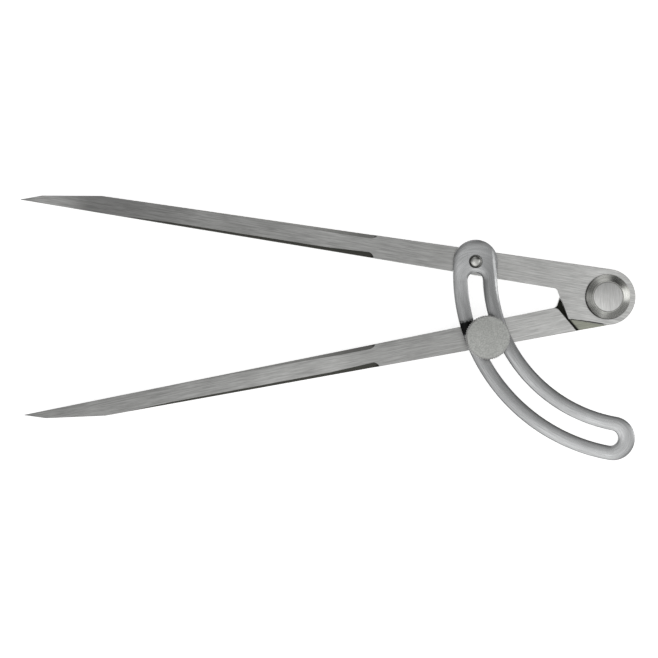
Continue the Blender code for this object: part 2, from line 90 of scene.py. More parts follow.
class Brushing(Enum):
    """How the tool marks of a finish run on its piece."""

    STROKES = "along the U direction of the brushing map"
    TURNED = "in circles about the piece's own Z axis"
    BLASTED = "in no direction"


# Node helpers


class NodeGraph:
    """A node tree, with short calls that add its nodes and join them."""

    def __init__(self, tree: NodeTree) -> None:
        """Keeps the tree that the calls write to."""
        self.tree = tree

    def node(self, kind: str, *values: object, **settings: object) -> Node:
        """Adds a shader node.

        Args:
            kind: the node's type, without its ShaderNode prefix.
            values: outputs or plain values for its first inputs, in their order.
            settings: the node's own properties.

        Returns:
            The new node.
        """
        made = self.tree.nodes.new("ShaderNode" + kind)
        for name, value in settings.items():
            setattr(made, name, value)
        for socket, value in zip(made.inputs, values):
            self.feed(socket, value)
        return made

    def feed(self, socket: NodeSocket, value: object) -> None:
        """Links an output to an input socket, or sets the socket to a plain value."""
        if isinstance(value, NodeSocket):
            self.tree.links.new(value, socket)
        else:
            socket.default_value = value

    def fill(self, node: Node, **values: object) -> Node:
        """Feeds a node's inputs by their names, with _ for a space, and returns the node."""
        for name, value in values.items():
            self.feed(node.inputs[name.replace("_", " ")], value)
        return node

    def math(self, operation: str, *values: object) -> NodeSocket:
        """Adds a Math node with these inputs, and returns its output."""
        return self.node("Math", *values, operation=operation).outputs[0]

    def vector(self, operation: str, *values: object) -> NodeSocket:
        """Adds a Vector Math node, and returns the output that its operation gives."""
        made = self.node("VectorMath", *values, operation=operation)
        return made.outputs["Value" if operation in ("DOT_PRODUCT", "LENGTH") else "Vector"]

    def remap(self, value: object, low: float, high: float, to_low: float, to_high: float,
              smooth: bool = False) -> NodeSocket:
        """Adds a clamped Map Range node.

        Args:
            value: what is mapped.
            low, high: the range that it comes from.
            to_low, to_high: the range that it goes to.
            smooth: whether the ends are eased.

        Returns:
            The mapped value.
        """
        return self.node("MapRange", value, low, high, to_low, to_high,
                         interpolation_type="SMOOTHSTEP" if smooth else "LINEAR").outputs[0]

    def noise(self, place: object, size: float | Sequence[float], detail: float = 3.0,
              roughness: float = 0.6) -> NodeSocket:
        """Adds a noise.

        Args:
            place: the coordinates.
            size: the size of its features, or their sizes along the three axes.
            detail: the number of finer layers.
            roughness: how strong the finer layers are.

        Returns:
            The noise, from 0 to 1.
        """
        sizes = (size,) * 3 if isinstance(size, float) else size
        mapping = self.fill(self.node("Mapping", place), Scale=[1 / length for length in sizes])
        made = self.node("TexNoise", mapping.outputs[0])
        return self.fill(made, Scale=1.0, Detail=detail, Roughness=roughness).outputs[0]

    def mix(self, factor: object, first: Colour, second: Colour) -> NodeSocket:
        """Mixes two colours.

        Args:
            factor: 0 for the first colour alone, 1 for the second.
            first, second: the colours.

        Returns:
            The mixed colour.
        """
        made = self.node("Mix", data_type="RGBA")
        sockets = {socket.identifier: socket for socket in made.inputs}
        self.feed(sockets["Factor_Float"], factor)
        self.feed(sockets["A_Color"], (*first, 1.0))
        self.feed(sockets["B_Color"], (*second, 1.0))
        return next(socket for socket in made.outputs if socket.identifier == "Result_Color")

    def tone(self, shader: Node, colour: object, shade: object) -> None:
        """Gives a shader its colour.

        Args:
            shader: the Principled shader.
            colour: the plain colour.
            shade: what the colour is multiplied by.
        """
        scaled = self.fill(self.node("VectorMath", colour, operation="SCALE"), Scale=shade)
        self.fill(shader, Base_Color=scaled.outputs[0])

    def relief(self, shader: Node, height: object, depth: float) -> None:
        """Gives a shader its relief.

        Args:
            shader: the Principled shader.
            height: the pattern of the relief, from 0 to 1.
            depth: how deep it is.
        """
        bump = self.fill(self.node("Bump"), Strength=1.0, Distance=depth, Height=height)
        self.fill(shader, Normal=bump.outputs[0])

    def from_line(self, place: object, start: Place, heading: float) -> list[NodeSocket]:
        """Measures coordinates from a line in plan.

        Args:
            place: the coordinates.
            start: where the line starts.
            heading: its direction.

        Returns:
            How far they lie along the line, and how far to its left.
        """
        offset = self.vector("SUBTRACT", place, (*start, 0.0))
        cosine, sine = math.cos(heading), math.sin(heading)
        return [self.vector("DOT_PRODUCT", offset, axis)
                for axis in ((cosine, sine, 0.0), (-sine, cosine, 0.0))]


def new_material(name: str) -> tuple[Material, NodeGraph, Node]:
    """Returns a new material, its node graph and its Principled shader."""
    material = bpy.data.materials.new(name)
    material.use_nodes = True
    graph = NodeGraph(material.node_tree)
    return material, graph, material.node_tree.nodes["Principled BSDF"]


# Finishes


@dataclass(frozen=True)
class LapShade:
    """Painted shade in the corner of the lap, along the foot of its shoulder."""

    corner: Place                       # the shoulder's inner end
    heading: float                      # direction of the shoulder from there
    seam: float = 1.0 * MM              # width of the painted shade along the whole shoulder
    wedge: float = 6.2 * MM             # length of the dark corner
    packed: float = 3.6 * MM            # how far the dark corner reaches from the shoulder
    darkest: float = 0.05

    def painted_share(self, graph: NodeGraph, place: NodeSocket) -> NodeSocket:
        """Returns the share of the tone that the painted shade leaves.

        Args:
            graph: the material's graph.
            place: the object coordinates.

        Returns:
            The share, from the darkest value to 1.
        """
        def clears(distance: object, start: float, end: float) -> NodeSocket:
            """Returns the share where the painted shade ends between two distances."""
            return graph.remap(distance, start, end, self.darkest, 1.0, smooth=True)

        along, beside = graph.from_line(place, self.corner, self.heading)
        beside = graph.math("ABSOLUTE", beside)
        wander = graph.remap(graph.noise(place, self.packed, 4.0), *NOISE_BAND,
                             -self.packed / 3, self.packed / 3)
        ragged = graph.math("ADD", beside, wander)
        off_corner = clears(ragged, self.packed * 0.7, self.packed * 1.4)
        off_wedge = clears(along, self.wedge * 0.75, self.wedge)
        off_seam = clears(beside, self.seam * 0.4, self.seam)
        return graph.math("MINIMUM", off_seam, graph.math("MAXIMUM", off_wedge, off_corner))


@dataclass(frozen=True)
class PaintedPatch:
    """A patch with a ragged border: painted shade, or a painted highlight where its level is above
    1.
    """

    centre: Place
    heading: float                      # direction of its long side
    half_length: float
    half_width: float
    fade: float = 0.3                   # share of its size over which the border fades
    ragged: float = 0.28                # share of its size by which the border wanders
    grain: float = 1.6 * MM
    squareness: float = 4.0             # 2 gives an ellipse
    around: bool = False                # whether the change lies round the patch instead
    level: float = 0.03                 # share of the tone in it, above 1 where it is bright
    lowest: float = 0.0                 # height under which the tone is unchanged again

    def painted_share(self, graph: NodeGraph, place: NodeSocket) -> NodeSocket:
        """Returns the share of the tone that the patch leaves.

        Args:
            graph: the material's graph.
            place: the object coordinates.

        Returns:
            The share, between the patch's level and 1.
        """
        powers = []
        for distance, half in zip(graph.from_line(place, self.centre, self.heading),
                                  (self.half_length, self.half_width)):
            share = graph.math("ABSOLUTE", graph.math("DIVIDE", distance, half))
            powers.append(graph.math("POWER", share, self.squareness))
        reach = graph.math("POWER", graph.math("ADD", *powers), 1 / self.squareness)
        height = graph.node("SeparateXYZ", place).outputs[2]
        below = graph.remap(height, self.lowest - 0.3 * MM, self.lowest, 2.0, 0.0)
        wander = graph.remap(graph.noise(place, self.grain), *NOISE_BAND,
                             -self.ragged, self.ragged)
        reach = graph.math("ADD", graph.math("ADD", reach, below), wander)
        levels = (1.0, self.level) if self.around else (self.level, 1.0)
        return graph.remap(reach, 1 - self.fade / 2, 1 + self.fade / 2, *levels, smooth=True)


@dataclass(frozen=True)
class Steel:
    """Worked steel: a tone that varies with the tool marks, their relief and their gloss, and
    where given painted light and shade along and across the strokes and in a patch.
    """

    name: str
    light: Colour
    dark: Colour
    roughness: float
    brushing: Brushing = Brushing.STROKES
    roughness_spread: float = 0.12
    stroke_length: float = 14 * MM
    stroke_width: float = 0.42 * MM
    relief: float = 0.006 * MM
    anisotropy: float = 0.6
    cloud_size: float = 11 * MM
    cloud_depth: float = 0.12
    contrast: float = 0.14              # the lower, the stronger the marks
    lengthways: Stops = ()              # painted light and shade along the strokes, as (U, shade)
    crossways: Stops = ()               # painted light and shade across the strokes, as (V, shade)
    axis: Place = (0.0, 0.0)            # of a turned piece
    # painted shade and painted highlights, one patch each
    painted_patches: tuple[LapShade | PaintedPatch, ...] = ()

    def build(self) -> Material:
        """Returns the finish as a material."""
        material, graph, shader = new_material(self.name)
        place = graph.node("TexCoord").outputs["Object"]
        marks = self._marks(graph, place)
        cloud = graph.noise(place, self.cloud_size, 3.0, 0.55)
        shade = graph.remap(cloud, *NOISE_BAND, 1.0 - self.cloud_depth, 1.0)
        strokes = graph.node("SeparateXYZ", self._strokes(graph)).outputs
        # painted light and shade along and across the strokes
        for travelled, stops in zip(strokes, (self.lengthways, self.crossways)):
            if stops:
                shade = graph.math("MULTIPLY", shade, stops[0][1])
            for (start, before), (end, after) in zip(stops, stops[1:]):
                ramp = graph.remap(travelled, start, end, 1.0, after / before, smooth=True)
                shade = graph.math("MULTIPLY", shade, ramp)
        # painted shade and painted highlights, each in its own patch
        for patch in self.painted_patches:
            shade = graph.math("MULTIPLY", shade, patch.painted_share(graph, place))
        share = graph.remap(marks, 0.5 - self.contrast, 0.5 + self.contrast, 0.0, 1.0)
        graph.tone(shader, graph.mix(share, self.dark, self.light), shade)
        low = self.roughness - self.roughness_spread / 2
        high = self.roughness + self.roughness_spread / 2
        graph.fill(shader, Metallic=1.0, Roughness=graph.remap(marks, 0.25, 0.75, high, low))
        graph.relief(shader, marks, self.relief)
        if self.brushing is not Brushing.BLASTED:
            tangent = graph.node("Tangent", direction_type="RADIAL", axis="Z")
            if self.brushing is Brushing.STROKES:
                tangent.direction_type = "UV_MAP"
                tangent.uv_map = BRUSH_MAP
            graph.fill(shader, Anisotropic=self.anisotropy, Anisotropic_Rotation=0.25,
                       Tangent=tangent.outputs[0])
        return material

    def _strokes(self, graph: NodeGraph) -> NodeSocket:
        """Returns the coordinates of the brushing map."""
        return graph.node("UVMap", uv_map=BRUSH_MAP).outputs[0]

    def _marks(self, graph: NodeGraph, place: NodeSocket) -> NodeSocket:
        """Returns the pattern of the tool marks, from 0 to 1.

        Args:
            graph: the material's graph.
            place: the object coordinates.

        Returns:
            The pattern, in two layers of marks.
        """
        length, width = self.stroke_length, self.stroke_width
        if self.brushing is Brushing.STROKES:
            place, sizes = self._strokes(graph), (length, width, 1.0)
        elif self.brushing is Brushing.TURNED:
            centred = graph.vector("SUBTRACT", place, (*self.axis, 0.0))
            x, y, z = graph.node("SeparateXYZ", centred).outputs
            squares = [graph.math("POWER", value, 2.0) for value in (x, y)]
            radius = graph.math("SQRT", graph.math("ADD", *squares))
            turn = graph.math("MULTIPLY", graph.math("ARCTAN2", y, x), 0.5)
            around = graph.math("MULTIPLY", graph.math("SINE", turn), length)
            place = graph.node("CombineXYZ", around, radius, z).outputs[0]
            sizes = (length / 2, width, width)
        else:
            sizes = (width,) * 3
        coarse = graph.noise(place, sizes)
        fine = graph.noise(place, [size / FINER for size in sizes], 3.0, 0.65)
        return graph.math("ADD", graph.math("MULTIPLY", coarse, 0.6),
                          graph.math("MULTIPLY", fine, 0.4))


@dataclass(frozen=True)
class ForgingSkin:
    """Dark, unground forging skin, with fine pits, in the hollows of the legs; its darker and
    lighter copies are painted shade and painted light on the two sides.
    """

    name: str
    colour: Colour
    roughness: float
    outer_colour: Colour                        # its colour further out from the pivot
    outer_from: float = 86 * MM          # reach from the pivot at which the change to it starts
    outer_fully: float = 104 * MM
    pit_size: float = 0.5 * MM
    pit_shade: float = 0.6              # share of the tone at the bottom of a pit
    roughness_spread: float = 0.08
    relief: float = 0.02 * MM

    def build(self) -> Material:
        """Returns the finish as a material."""
        material, graph, shader = new_material(self.name)
        place = graph.node("TexCoord").outputs["Object"]
        pits = graph.noise(place, self.pit_size, 4.0)
        reach = graph.vector("LENGTH", graph.vector("MULTIPLY", place, (1.0, 1.0, 0.0)))
        outward = graph.remap(reach, self.outer_from, self.outer_fully, 0.0, 1.0)
        shade = graph.remap(pits, 0.0, 1.0, self.pit_shade, 1.0)
        graph.tone(shader, graph.mix(outward, self.colour, self.outer_colour), shade)
        spread = graph.remap(pits, *NOISE_BAND, self.roughness - self.roughness_spread,
                             self.roughness + self.roughness_spread)
        graph.fill(shader, Metallic=0.85, Roughness=spread)
        graph.relief(shader, pits, self.relief)
        return material


# Mesh helpers


def mesh_object(name: str, shaped: BMesh, materials: Sequence[Material] = ()) -> Object:
    """Turns a bmesh into a linked object at the origin.

    Args:
        name: the piece's name.
        shaped: the mesh, which is freed.
        materials: the piece's materials, in the order of its face indices.

    Returns:
        The new object, shaded smooth with its sharp edges kept.
    """
    mesh = bpy.data.meshes.new(name)
    shaped.to_mesh(mesh)
    shaped.free()
    for material in materials:
        mesh.materials.append(material)
    mesh.shade_smooth()
    mesh.set_sharp_from_angle(angle=SHARP_ANGLE)
    item = bpy.data.objects.new(name, mesh)
    bpy.context.scene.collection.objects.link(item)
    return item


def baked(item: Object) -> Object:
    """Applies all modifiers of an object to its mesh, and returns the object."""
    bpy.context.view_layer.update()
    evaluated = item.evaluated_get(bpy.context.evaluated_depsgraph_get())
    mesh = bpy.data.meshes.new_from_object(evaluated)
    mesh.name = item.name
    item.modifiers.clear()
    item.data = mesh
    return item


def rounded(profile: Profile, radii: dict[int, float], steps: int = 4) -> Profile:
    """Rounds chosen corners of a profile.

    Args:
        profile: its points.
        radii: the fillet radius at each rounded corner, by its index.
        steps: facets in each fillet.

    Returns:
        The profile with its fillets.
    """
    shaped = []
    for index, point in enumerate(profile):
        if index not in radii:
            shaped.append(point)
            continue
        corner = Vector(point)
        before = (Vector(profile[index - 1]) - corner).normalized()
        after = (Vector(profile[(index + 1) % len(profile)]) - corner).normalized()
        half = before.angle(after) / 2
        reach = radii[index] / math.tan(half)
        centre = corner + (before + after).normalized() * (radii[index] / math.sin(half))
        start = corner + before * reach - centre
        sweep = -start.angle_signed(corner + after * reach - centre)
        for step in range(steps + 1):
            spoke = Matrix.Rotation(sweep * step / steps, 2) @ start
            shaped.append(tuple(centre + spoke))
    return shaped


def turned(profile: Profile, segments: int, centre: Sequence[float], closed: bool = False,
           radius_at: Callable[[float, float], float] | None = None) -> BMesh:
    """Turns a profile about a vertical axis.

    Args:
        profile: its points, which run down the outer side.
        segments: facets round the axis.
        centre: plan place of the axis.
        closed: whether the profile is a loop, for a ring.
        radius_at: changes a radius, given the point's height and angle, as for a thread.

    Returns:
        The closed mesh, with its brushing map.
    """
    shaped = bmesh.new()
    brushing = shaped.loops.layers.uv.new(BRUSH_MAP)
    rings = []
    for radius, height in profile:
        if radius < 1e-9:
            rings.append([shaped.verts.new((*centre, height))] * segments)
            continue
        ring = []
        for step in range(segments):
            angle = math.tau * step / segments
            reach = radius_at(height, angle) if radius_at else radius
            spoke = (centre[0] + reach * math.cos(angle), centre[1] + reach * math.sin(angle))
            ring.append(shaped.verts.new((*spoke, height)))
        rings.append(ring)
    travelled = [0.0]
    pairs = list(zip(profile, profile[1:] + profile[:1] if closed else profile[1:]))
    for first, second in pairs:
        travelled.append(travelled[-1] + math.dist(first, second))
    for index in range(len(pairs)):
        upper, lower = rings[index], rings[(index + 1) % len(rings)]
        around = max(pairs[index][0][0], pairs[index][1][0]) * math.tau
        for step in range(segments):
            ahead = (step + 1) % segments
            corners = [(upper[step], step, 0), (lower[step], step, 1),
                       (lower[ahead], step + 1, 1), (upper[ahead], step + 1, 0)]
            kept = []
            for corner in corners:
                if all(corner[0] is not other[0] for other in kept):
                    kept.append(corner)
            if len(kept) < 3:
                continue
            face = shaped.faces.new([corner[0] for corner in kept])
            for loop, (_, column, row) in zip(face.loops, kept):
                loop[brushing].uv = (around * column / segments, travelled[index + row])
    bmesh.ops.recalc_face_normals(shaped, faces=shaped.faces)
    return shaped


def stroke_faces(mesh: Mesh, along: Vector) -> None:
    """Lays the brushing map on each face by itself, with U along one direction.

    Args:
        mesh: the finished mesh.
        along: the direction of the strokes, in plan.
    """
    brushing = mesh.uv_layers.get(BRUSH_MAP) or mesh.uv_layers.new(name=BRUSH_MAP)
    for face in mesh.polygons:
        across = face.normal.cross(along)
        if across.length < 0.2:
            across = Vector((0.0, 0.0, 1.0)).cross(face.normal)
        across.normalize()
        for index in face.loop_indices:
            place = mesh.vertices[mesh.loops[index].vertex_index].co
            brushing.data[index].uv = (place.dot(along), place.dot(across))


def clamped(share: float) -> float:
    """Returns a share kept between 0 and 1."""
    return min(max(share, 0.0), 1.0)


def settle(piece: Object, body: str, slot: str, *nodes: str) -> Object:
    """Makes a finished piece ride on its body, and lets it stand for CAD nodes.

    Args:
        piece: the piece, at the origin.
        body: the CAD body that carries it.
        slot: the record's material slot; not used.
        nodes: the CAD nodes that it replaces.

    Returns:
        The piece.
    """
    if nodes:
        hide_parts(*nodes)
    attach(piece, body)
    triangles = sum(len(face.vertices) - 2 for face in piece.data.polygons)
    LOG.info("%s rides on %s with %d triangles", piece.name, body, triangles)
    return piece


# Sub-assemblies


@dataclass
class ForgedLeg:
    """One leg, ground lengthwise, with the forging skin left in its flutes."""

    node: str
    body: str
    angle: float                        # of the leg's line, from +X, at rest
    turned_over: bool
    ground: Steel
    shaded_skin: ForgingSkin              # the shaded copy, in the flute towards -Y: painted shade
    lit_skin: ForgingSkin               # the lit copy, in the flute towards +Y: painted light
    lap: Steel
    edge_round: float = 0.14 * MM
    flute_exit: float = 80 * MM         # pivot to the run-out of the flutes
    flute_end: float = 168 * MM
    run_out: float = 2.6 * MM
    set_off: float = 3.9 * MM           # from the line through the pivot to the middle of the leg
    slanted: float = 0.35               # part of a flute's normal that is across, and upright
    square: float = 0.9                 # the same part of a plain face's normal
    sharp: float = math.radians(28)     # angle of the edges that are rounded
    lap_reach: float = 27 * MM
    middle: float = 4.85 * MM           # height of the leg's middle plane
    shoulder: Place = (17.1 * MM, 0.17 * MM)        # the lap's corner, along and across
    shoulder_turn: float = math.radians(119.5)      # heading of the shoulder

    def build(self, source: Object) -> Object:
        """Builds the dressed leg from its CAD node, and returns it."""
        shaped = bmesh.new()
        shaped.from_mesh(source.data)
        for layer in list(shaped.loops.layers.uv.values()):
            shaped.loops.layers.uv.remove(layer)
        bmesh.ops.remove_doubles(shaped, verts=shaped.verts, dist=1e-6)
        bmesh.ops.dissolve_limit(shaped, angle_limit=math.radians(0.2), verts=shaped.verts,
                                 edges=shaped.edges)
        self._sort_faces(shaped)
        self._weigh_edges(shaped)
        along, across = self._along(), self._across()
        beside = across if self.turned_over else -across
        corner = along * self.shoulder[0] + beside * self.shoulder[1]
        heading = along * math.cos(self.shoulder_turn) + beside * math.sin(self.shoulder_turn)
        # painted shade in the corner of the lap, along the foot of its shoulder
        lap_shade = LapShade((corner.x, corner.y), math.atan2(heading.y, heading.x))
        lap = replace(self.lap, painted_patches=(lap_shade,))
        finishes = (self.ground, self.shaded_skin, lap, self.lit_skin)
        leg = mesh_object("dressed_" + self.node, shaped, [item.build() for item in finishes])
        rounding = leg.modifiers.new("Edges", "BEVEL")
        rounding.limit_method = "WEIGHT"
        rounding.width = self.edge_round
        rounding.segments = 3
        rounding.use_clamp_overlap = False
        flattening = leg.modifiers.new("Flat faces", "WEIGHTED_NORMAL")
        flattening.keep_sharp = True
        baked(leg)
        stroke_faces(leg.data, along)
        return settle(leg, self.body, "leg_steel", self.node)

    def _along(self) -> Vector:
        """Returns the direction from the pivot to the point."""
        return Vector((math.cos(self.angle), math.sin(self.angle), 0.0))

    def _across(self) -> Vector:
        """Returns the direction across the leg, towards -Y at rest."""
        return Vector((0.0, 0.0, 1.0)).cross(self._along())

    def _sort_faces(self, shaped: BMesh) -> None:
        """Gives each face its finish: 0 ground, 1 near flute, 2 lap floor, 3 far flute."""
        along, across = self._along(), self._across()
        divide = self.set_off if self.turned_over else -self.set_off
        for face in shaped.faces:
            centre = face.calc_center_median()
            reach = centre.dot(along)
            facing = abs(face.normal.dot(across)), abs(face.normal.z)
            near_exit = abs(reach - self.flute_exit) < self.run_out and max(facing) < self.square
            hollow = min(facing) > self.slanted or near_exit
            if hollow and self.flute_exit - self.run_out < reach < self.flute_end:
                # flute faces towards -Y take the shaded copy, those towards +Y the lit copy:
                # painted shade and painted light
                face.material_index = 1 if centre.dot(across) > divide else 3
            elif (reach < self.lap_reach and facing[1] > self.square
                  and abs(centre.z - self.middle) < 0.2 * MM):
                face.material_index = 2

    def _weigh_edges(self, shaped: BMesh) -> None:
        """Marks the long sharp edges for rounding, and the short ones for less of it."""
        weights = shaped.edges.layers.float.new("bevel_weight_edge")
        for edge in shaped.edges:
            if len(edge.link_faces) != 2 or edge.calc_face_angle() < self.sharp:
                continue
            skins = [face.material_index for face in edge.link_faces]
            edge[weights] = 0.35 if 1 in skins or 3 in skins else 1.0


@dataclass
class RivetedHead:
    """The pivot rivet between two bevelled rosettes."""

    rosette_steel: Steel
    rivet_steel: Steel
    segments: int = 160
    rosette_radius: float = 7.6 * MM
    rosette_height: float = 1.7 * MM
    rosette_rim: float = 0.4 * MM
    hole_radius: float = 3.6 * MM
    mouth_radius: float = 5.1 * MM
    land: float = 0.15 * MM
    head_radius: float = 5.0 * MM
    head_height: float = 1.2 * MM
    shank_radius: float = 3.5 * MM

    def build(self) -> list[Object]:
        """Builds both rosettes and the rivet, and returns them."""
        return [self._rosette("front_rosette", Side.FRONT),
                self._rosette("rear_rosette", Side.BACK), self._rivet()]

    def _rosette(self, node: str, side: Side) -> Object:
        """Builds one rosette where its CAD node lies.

        Args:
            node: the CAD node.
            side: the side of the head that it faces.

        Returns:
            The rosette.
        """
        low, high = (corner.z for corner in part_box(node))
        seat = low if side is Side.FRONT else high
        levels = [(self.mouth_radius + self.land, self.rosette_height),
                  (self.rosette_radius, self.rosette_rim), (self.rosette_radius, 0.0),
                  (self.hole_radius, 0.0),
                  (self.hole_radius, self.rosette_height - self.head_height),
                  (self.mouth_radius, self.rosette_height)]
        soft = rounded(levels, {0: 0.04 * MM, 1: 0.16 * MM, 2: 0.08 * MM, 5: 0.02 * MM}, 5)
        profile = [(radius, seat + side.value * height) for radius, height in soft]
        shaped = turned(profile, self.segments, (0.0, 0.0), closed=True)
        piece = mesh_object("turned_" + node, shaped, [self.rosette_steel.build()])
        return settle(piece, "upper_leg", "rosette_steel", node)

    def _rivet(self) -> Object:
        """Builds the pivot rivet, with both of its ends ground flush."""
        low, high = (corner.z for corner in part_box("pivot_rivet"))
        levels = [(0.0, high), (self.head_radius, high),
                  (self.shank_radius, high - self.head_height),
                  (self.shank_radius, low + self.head_height), (self.head_radius, low), (0.0, low)]
        soft = rounded(levels, {1: 0.05 * MM, 2: 0.2 * MM, 3: 0.2 * MM, 4: 0.05 * MM}, 5)
        shaped = turned(soft, self.segments, (0.0, 0.0))
        piece = mesh_object("ground_pivot_rivet", shaped, [self.rivet_steel.build()])
        stroke_faces(piece.data, Vector((0.0, 1.0, 0.0)))
        return settle(piece, "upper_leg", "rivet_steel", "pivot_rivet")


@dataclass
class SlottedWing:
    """The slotted arc with domed rails, and the rivet that it swings on."""

    wing_steel: Steel
    shaded_bore_steel: Steel
    rivet_steel: Steel
    eye: Place                                      # where the wing's rivet stands
    centre_from_eye: Place = (55.9070 * MM, -4.1706 * MM)
    half_width: float = 7.4 * MM
    slot_half_width: float = 2.6 * MM
    slot_start: float = 6.3 * MM                    # from the eye, along the arc
    slot_end_angle: float = 4.522555                # about the arc's centre, from +X
    end_shift: float = 0.8 * MM
    crown_width: float = 2.4 * MM                   # half of a rail
    crown_tilt: float = math.radians(19)            # slope of a rail's face at its edge
    steep_tilt: float = math.radians(32)            # the same on the inner rail, near the eye
    steep_sweep: float = 0.75                       # arc over which the inner rail grows flatter
    eye_tilt: float = math.radians(7)               # the same round the eye, on the inner side
    edge_round: float = 0.18 * MM
    back_round: float = 0.3 * MM
    rail_steps: int = 110
    cap_steps: int = 44
    dome_steps: int = 16
    counterbore_radius: float = 2.2 * MM
    counterbore_depth: float = 1.2 * MM
    hole_radius: float = 1.4 * MM
    rivet_head_radius: float = 1.8 * MM
    rivet_head_height: float = 1.0 * MM
    rivet_radius: float = 1.3 * MM
    tail_radius: float = 2.0 * MM
    tail_height: float = 0.7 * MM
    chamfer: float = 0.12 * MM                      # of the counterbore's mouth
    bore_margin: float = 0.05 * MM                  # round the bore, with the bore's painted shade
    sharp: float = math.radians(40)                 # angle of the edges that stay sharp
    arc_steps: int = 60

    def __post_init__(self) -> None:
        """Works out the arc's centre, radius and angles."""
        offset = Vector(self.centre_from_eye)
        self.centre = Vector(self.eye) + offset
        self.radius = offset.length
        self.eye_angle = math.atan2(-offset.y, -offset.x) % math.tau
        self.slot_start_angle = self.eye_angle + self.slot_start / self.radius
        self.end_angle = self.slot_end_angle + self.end_shift / self.radius

    def build(self) -> list[Object]:
        """Builds the wing and its rivet, and returns them."""
        return [self._wing(), self._rivet()]

    def _at(self, angle: float, radius: float) -> Vector:
        """Returns the plan point at an angle and a radius about the arc's centre."""
        return self.centre + Vector((math.cos(angle), math.sin(angle))) * radius

    def _polar(self, point: Vector) -> tuple[float, float]:
        """Returns the angle and the radius of a plan point about the arc's centre."""
        spoke = point - self.centre
        return math.atan2(spoke.y, spoke.x) % math.tau, spoke.length

    def _outline(self, start: float, end: float, half_width: float) -> list[Vector]:
        """Returns an outline round the arc, in four stretches that match the slot's.

        Args:
            start, end: the angles of the centres of its two caps.
            half_width: its half width.

        Returns:
            The points of the outer side, the far cap, the inner side and the near cap.
        """
        outer, inner = self.radius + half_width, self.radius - half_width
        first, last = self.slot_start_angle, self.slot_end_angle
        near, far = self._at(start, self.radius), self._at(end, self.radius)
        stretches = (
            (self.rail_steps, ((self.centre, outer, first, last),)),
            (self.cap_steps, ((self.centre, outer, last, end),
                              (far, half_width, end, end + math.pi),
                              (self.centre, inner, end, last))),
            (self.rail_steps, ((self.centre, inner, last, first),)),
            (self.cap_steps, ((self.centre, inner, first, start),
                              (near, half_width, start + math.pi, start + math.tau),
                              (self.centre, outer, start, first))))
        outline = []
        for steps, arcs in stretches:
            points = []
            for middle, radius, begin, finish in arcs:
                for step in range(self.arc_steps + 1):
                    turn = begin + (finish - begin) * step / self.arc_steps
                    points.append(middle + Vector((math.cos(turn), math.sin(turn))) * radius)
            outline += self._even(points, steps)
        return outline

    @staticmethod
    def _even(points: list[Vector], steps: int) -> list[Vector]:
        """Spaces points evenly on a line.

        Args:
            points: the corners of the line.
            steps: how many points are wanted.

        Returns:
            The points, without the line's end.
        """
        lengths = [0.0]
        for first, second in zip(points, points[1:]):
            lengths.append(lengths[-1] + (second - first).length)
        spaced = []
        index = 0
        for step in range(steps):
            wanted = lengths[-1] * step / steps
            while lengths[index + 1] < wanted:
                index += 1
            span = lengths[index + 1] - lengths[index]
            share = (wanted - lengths[index]) / span if span > 1e-12 else 0.0
            spaced.append(points[index].lerp(points[index + 1], share))
        return spaced

    def _to_spine(self, point: Vector, start: float, end: float) -> float:
        """Measures from the arc's middle line.

        Args:
            point: a plan point.
            start, end: the angles between which the line runs.

        Returns:
            How far the point lies from the line.
        """
        angle, radius = self._polar(point)
        if start <= angle <= end:
            return abs(radius - self.radius)
        ends = (self._at(start, self.radius), self._at(end, self.radius))
        return min((point - place).length for place in ends)

    def _edge_distance(self, point: Vector) -> float:
        """Returns how far a plan point of the wing lies from its nearest edge."""
        outer = self.half_width - self._to_spine(point, self.eye_angle, self.end_angle)
        slot = self._to_spine(point, self.slot_start_angle, self.slot_end_angle)
        return max(min(outer, slot - self.slot_half_width), 0.0)

    def _tilt(self, point: Vector) -> float:
        """Returns the slope that a rail's face has at its edge near a plan point."""
        angle, radius = self._polar(point)
        inner = clamped((self.radius - radius) / (2 * self.slot_half_width) + 0.5)
        near = clamped(1 - (angle - self.slot_start_angle) / self.steep_sweep)
        past = clamped((self.slot_start_angle - angle) / (self.slot_start_angle - self.eye_angle))
        tilt = self.crown_tilt + (self.steep_tilt - self.crown_tilt) * inner * near
        return tilt + (self.eye_tilt - tilt) * inner * past

    def _drop(self, point: Vector) -> float:
        """Returns how far the face has dropped at a plan point, by its nearest edge."""
        distance = self._edge_distance(point)
        curve = self.crown_width / math.sin(self._tilt(point))
        inward = max(self.crown_width - distance, 0.0)
        crown = curve - math.sqrt(curve**2 - inward**2)
        share = max(1 - distance / self.edge_round, 0.0)
        return crown + self.edge_round * (1 - math.sqrt(1 - share * share))

    def _section(self, inner: Vector, outer: Vector, back: float, front: float) -> list[Vector]:
        """Returns one loop round a rail, from the slot's edge over the dome to the outer edge.

        Args:
            inner: the plan point on the slot's edge.
            outer: the plan point on the outer edge.
            back, front: the heights of the wing's faces.

        Returns:
            The points of the loop.
        """
        width = (outer - inner).length
        loop = []
        for step in range(self.dome_steps + 1):
            point = inner.lerp(outer, (1 - math.cos(math.pi * step / self.dome_steps)) / 2)
            loop.append(Vector((*point, front - self._drop(point))))
        inset = self.back_round / width
        for share, lift in ((1.0, 1.0), (1 - 0.3 * inset, 0.3), (1 - inset, 0.0), (inset, 0.0),
                            (0.3 * inset, 0.3), (0.0, 1.0)):
            point = inner.lerp(outer, share)
            loop.append(Vector((*point, back + lift * self.back_round)))
        return loop

